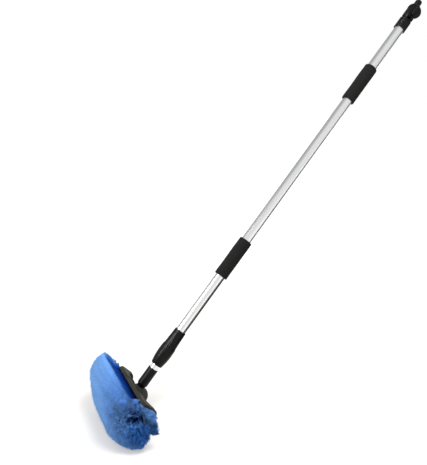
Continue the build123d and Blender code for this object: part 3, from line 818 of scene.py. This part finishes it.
# Each node's columns and rows of tufts, the filaments in a tuft, and the way of its tier
near_columns = range(2)
inner_columns = range(2, TUFT_COLUMNS - 2)
far_columns = range(TUFT_COLUMNS - 2, TUFT_COLUMNS)
BRISTLE_NODES = {
    "near_end_bristles": (near_columns, range(TUFT_ROWS), 330, -1),
    "far_end_bristles": (far_columns, range(TUFT_ROWS), 330, 1),
    "lower_side_bristles": (inner_columns, range(2), 330, 0),
    "upper_side_bristles": (inner_columns, range(TUFT_ROWS - 2, TUFT_ROWS), 330, 0),
    "middle_bristles": (inner_columns, range(2, TUFT_ROWS - 2), 230, 0),
}
fullness = 1.0
filament = model_filament()
for seed, (name, (columns, rows, per_tuft, way)) in enumerate(BRISTLE_NODES.items()):
    random = np.random.default_rng(seed)
    shown = int(per_tuft * fullness)
    roots, tips = bed_filaments(random, columns, rows, shown)
    if way:
        tier_roots, tier_tips = tier_filaments(random, way, shown)
        roots = np.concatenate([roots, tier_roots])
        tips = np.concatenate([tips, tier_tips])
    piece = bristle_piece("soft_" + name, roots, tips, seed, filament)
    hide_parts(name)


# Foam grips


def swollen_skin(piece):
    """Move a sleeve's skin in and out a little, as soft foam stretched over a tube lies."""
    for corner in piece.data.vertices:
        turn = atan2(corner.co.y, corner.co.x)
        short = SHORT_SWELL * sin(SHORT_SWELL_LOBES * turn + corner.co.z / SHORT_SWELL_PITCH)
        long = LONG_SWELL * cos(LONG_SWELL_LOBES * turn - corner.co.z / LONG_SWELL_PITCH)
        scale = 1 + (short + long) / GRIP_RADIUS
        corner.co.x *= scale
        corner.co.y *= scale


def foam_grip(name, node, low):
    """Foam sleeve from a station on the pole upwards, with soft rounded ends."""
    bpy.ops.object.select_all(action="DESELECT")
    bpy.ops.mesh.primitive_cylinder_add(
        vertices=GRIP_SIDES, radius=GRIP_RADIUS, depth=GRIP_LENGTH, end_fill_type="NOTHING"
    )
    piece = bpy.context.object
    last_ring = GRIP_LENGTH / 2 - GRIP_RING_MARGIN
    cut_across(piece, np.linspace(-last_ring, last_ring, GRIP_RINGS))
    swollen_skin(piece)
    wall = piece.modifiers.new("wall", "SOLIDIFY")
    wall.thickness = GRIP_WALL
    wall.offset = -1
    edge = piece.modifiers.new("edge", "BEVEL")
    edge.width = GRIP_ROUND
    edge.segments = GRIP_ROUND_STEPS
    edge.limit_method = "ANGLE"
    edge.angle_limit = GRIP_EDGE_ANGLE
    bpy.ops.object.modifier_apply(modifier=wall.name)
    bpy.ops.object.modifier_apply(modifier=edge.name)
    bpy.ops.object.shade_smooth()
    middle = station(low + GRIP_LENGTH / 2)
    piece.matrix_world = Matrix.Translation(middle) @ Matrix.Rotation(POLE_RISE - pi / 2, 4, "X")
    start_alone(piece)
    bpy.ops.object.transform_apply(location=True, rotation=True, scale=True)
    piece.name = name
    piece.data.name = name
    piece.data.materials.append(FOAM)
    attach(piece, "pole")
    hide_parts(node)


foam_grip("lower_foam_grip", "lower_grip", LOWER_GRIP_STATION)
foam_grip("upper_foam_grip", "upper_grip", UPPER_GRIP_STATION)


# Studio: pale floor, soft lamps and the camera of the photograph


def keep_under_head(floor, level):
    """Hold the floor under the corners of the head's box, so that it hides the head at no pose."""
    boxes = np.array([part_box(name) for name in BRISTLE_NODES])
    low = boxes[:, 0].min(axis=0)
    high = boxes[:, 1].max(axis=0)
    low[2] = level
    for corner in product(*zip(low, high)):
        mark = bpy.data.objects.new("head_corner", None)
        mark.location = corner
        mark.parent = frame["bodies"]["brush"]
        bpy.context.scene.collection.objects.link(mark)
        limit = floor.constraints.new("FLOOR")
        limit.target = mark
        limit.floor_location = "FLOOR_NEGATIVE_Z"
        limit.offset = -FLOOR_GAP


def studio_paper():
    """White paper whose own glow grows away from the object, so that only the shadow is grey."""
    material = blank_material("studio_paper")
    paper = add_node(material, "ShaderNodeBsdfDiffuse", {"Color": colour("#F5F2EC")})
    ray = add_node(material, "ShaderNodeLightPath")
    seen = add_node(
        material,
        "ShaderNodeMath",
        links={0: ray.outputs["Is Camera Ray"], 1: ray.outputs["Is Glossy Ray"]},
        operation="MAXIMUM",
    )
    place = add_node(material, "ShaderNodeTexCoord")
    reach = add_node(
        material, "ShaderNodeVectorMath", links={0: place.outputs["Object"]}, operation="LENGTH"
    )
    level = add_node(
        material,
        "ShaderNodeMapRange",
        {"From Min": GLOW_START, "From Max": GLOW_END, "To Min": GLOW_NEAR, "To Max": GLOW_FAR},
        {"Value": reach.outputs["Value"]},
        interpolation_type="SMOOTHSTEP",
    )
    strength = add_node(
        material,
        "ShaderNodeMath",
        links={0: seen.outputs[0], 1: level.outputs[0]},
        operation="MULTIPLY",
    )
    glow = add_node(
        material, "ShaderNodeEmission", {"Color": (1, 1, 1, 1)}, {"Strength": strength.outputs[0]}
    )
    both = add_node(material, "ShaderNodeAddShader", links={0: paper.outputs[0], 1: glow.outputs[0]})
    add_node(material, "ShaderNodeOutputMaterial", links={"Surface": both.outputs[0]})
    return material


def studio_floor():
    """Pale floor just under the object, which stays white around the object's own shadow."""
    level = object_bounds()[0][2]
    bpy.ops.object.select_all(action="DESELECT")
    bpy.ops.mesh.primitive_plane_add(size=FLOOR_SIZE, location=(0, 0, level - FLOOR_GAP))
    floor = bpy.context.object
    floor.name = "studio_floor"
    floor.data.materials.append(studio_paper())
    keep_under_head(floor, level)
    floor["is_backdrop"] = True
    return floor


def level_by_way(world, generated, way, span, levels, interpolation):
    """Brightness of the surroundings that changes from one level to another towards a way."""
    facing = add_node(
        world, "ShaderNodeVectorMath", {1: way}, {0: generated}, operation="DOT_PRODUCT"
    )
    return add_node(
        world,
        "ShaderNodeMapRange",
        {"From Min": span[0], "From Max": span[1], "To Min": levels[0], "To Max": levels[1]},
        {"Value": facing.outputs["Value"]},
        interpolation_type=interpolation,
    )


def studio_world():
    """Surroundings that are white to the eye, bright in mirrors on one side, and dim as light."""
    world = bpy.data.worlds.new("studio_world")
    world.use_nodes = True
    world.node_tree.nodes.clear()
    ray = add_node(world, "ShaderNodeLightPath")
    mirrored = add_node(
        world,
        "ShaderNodeMath",
        links={0: ray.outputs["Is Glossy Ray"], 1: ray.outputs["Is Transmission Ray"]},
        operation="MAXIMUM",
    )
    generated = add_node(world, "ShaderNodeTexCoord").outputs["Generated"]
    gloss = level_by_way(world, generated, GLOSS_WAY, GLOSS_SPAN, GLOSS_LEVELS, "SMOOTHSTEP")
    soft = level_by_way(world, generated, WORLD_WAY, WORLD_SPAN, WORLD_LEVELS, "LINEAR")
    unseen = add_node(
        world,
        "ShaderNodeMapRange",
        links={"Value": mirrored.outputs[0], "To Min": soft.outputs[0], "To Max": gloss.outputs[0]},
    )
    level = add_node(
        world,
        "ShaderNodeMapRange",
        {"To Max": 1.0},
        {"Value": ray.outputs["Is Camera Ray"], "To Min": unseen.outputs[0]},
    )
    light = add_node(
        world, "ShaderNodeBackground", {"Color": (1, 1, 1, 1)}, {"Strength": level.outputs[0]}
    )
    add_node(world, "ShaderNodeOutputWorld", links={"Surface": light.outputs[0]})
    bpy.context.scene.world = world


def area_lamp(name, turn_and_place, width, power):
    """Soft box that shines along its own -Z."""
    lamp = bpy.data.lights.new(name, "AREA")
    lamp.size = width
    lamp.energy = power
    holder = bpy.data.objects.new(name, lamp)
    holder.matrix_world = turn_and_place
    bpy.context.scene.collection.objects.link(holder)
    return holder


def aimed(place):
    """Turn and place of a lamp that shines at the object."""
    turn = (LAMP_AIM - place).to_track_quat("-Z", "Y").to_matrix().to_4x4()
    return Matrix.Translation(place) @ turn


def top_lamp():
    """Wide lamp over the pole. It isn't mirrored, because it would burn out the bright tube."""
    lamp = area_lamp("top_lamp", aimed(TOP_LAMP_PLACE), TOP_LAMP_WIDTH, TOP_LAMP_POWER)
    lamp.visible_glossy = False


def key_lamp(floor):
    """Lamp before the bristles' working face. It spares the floor, and so throws no shadow there."""
    lamp = area_lamp("key_lamp", aimed(KEY_LAMP_PLACE), KEY_LAMP_WIDTH, KEY_LAMP_POWER)
    kept_off = bpy.data.collections.new("kept_off")
    kept_off.objects.link(floor)
    lamp.light_linking.receiver_collection = kept_off
    kept_off.collection_objects[0].light_linking.link_state = "EXCLUDE"


def strip_lamp():
    """Narrow strip light along the pole, mirrored only by the satin black mouldings."""
    back = (STRIP_PLACE - POLE_WAY * STRIP_PLACE.dot(POLE_WAY)).normalized()
    turn = Matrix((POLE_WAY.cross(back), POLE_WAY, back)).transposed().to_4x4()
    lamp = area_lamp("strip_lamp", Matrix.Translation(STRIP_PLACE) @ turn, STRIP_WIDTH, STRIP_POWER)
    lamp.data.shape = "RECTANGLE"
    lamp.data.size_y = STRIP_LENGTH
    lamp.visible_diffuse = False
    mirrors = bpy.data.collections.new("strip_mirrors")
    for name, material in NODE_FINISH.items():
        if material is SATIN_ABS:
            mirrors.objects.link(nodes[name])
    lamp.light_linking.receiver_collection = mirrors


def dark_flag(name, place, length, width, tint):
    """Dark card along the pole, seen only in reflections, that gives metal its dark edge."""
    way = (FLAG_WAY - POLE_WAY * FLAG_WAY.dot(POLE_WAY)).normalized()
    turn = Matrix((POLE_WAY.cross(way), POLE_WAY, way)).transposed().to_4x4()
    bpy.ops.object.select_all(action="DESELECT")
    bpy.ops.mesh.primitive_plane_add(size=1)
    flag = bpy.context.object
    flag.name = name
    middle = Matrix.Translation(station(place) + way * FLAG_AWAY)
    flag.matrix_world = middle @ turn @ Matrix.Diagonal((width, length, 1, 1))
    material = blank_material(name + "_cloth")
    cloth = add_node(material, "ShaderNodeBsdfDiffuse", {"Color": colour(tint)})
    add_node(material, "ShaderNodeOutputMaterial", links={"Surface": cloth.outputs[0]})
    flag.data.materials.append(material)
    flag.visible_camera = False
    flag.visible_diffuse = False
    flag.visible_shadow = False
    flag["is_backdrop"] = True


def photo_camera():
    """Camera at the photograph's place, in front of the brush's near end."""
    back = Vector(
        (
            sin(CAMERA_AZIMUTH) * cos(CAMERA_RISE),
            -cos(CAMERA_AZIMUTH) * cos(CAMERA_RISE),
            sin(CAMERA_RISE),
        )
    )
    right = Vector((cos(CAMERA_AZIMUTH), sin(CAMERA_AZIMUTH), 0))
    up = back.cross(right)
    rolled_right = right * cos(CAMERA_ROLL) + up * sin(CAMERA_ROLL)
    rolled_up = up * cos(CAMERA_ROLL) - right * sin(CAMERA_ROLL)
    turn = Matrix((rolled_right, rolled_up, back)).transposed().to_4x4()
    data = bpy.data.cameras.new("photo_camera")
    data.lens = CAMERA_LENS
    data.sensor_width = CAMERA_SENSOR
    data.clip_start = CAMERA_CLIP
    camera = bpy.data.objects.new("photo_camera", data)
    camera.matrix_world = Matrix.Translation(CAMERA_PLACE) @ turn
    bpy.context.scene.collection.objects.link(camera)
    bpy.context.scene.camera = camera


floor = studio_floor()
studio_world()
dark_flag("pole_flag", POLE_FLAG_STATION, POLE_FLAG_LENGTH, POLE_FLAG_WIDTH, "#6E6E6E")
strip_lamp()
dark_flag("neck_flag", NECK_FLAG_STATION, NECK_FLAG_LENGTH, NECK_FLAG_WIDTH, "#2E2E2E")
top_lamp()
key_lamp(floor)
photo_camera()

bpy.context.scene.view_settings.view_transform = "Standard"
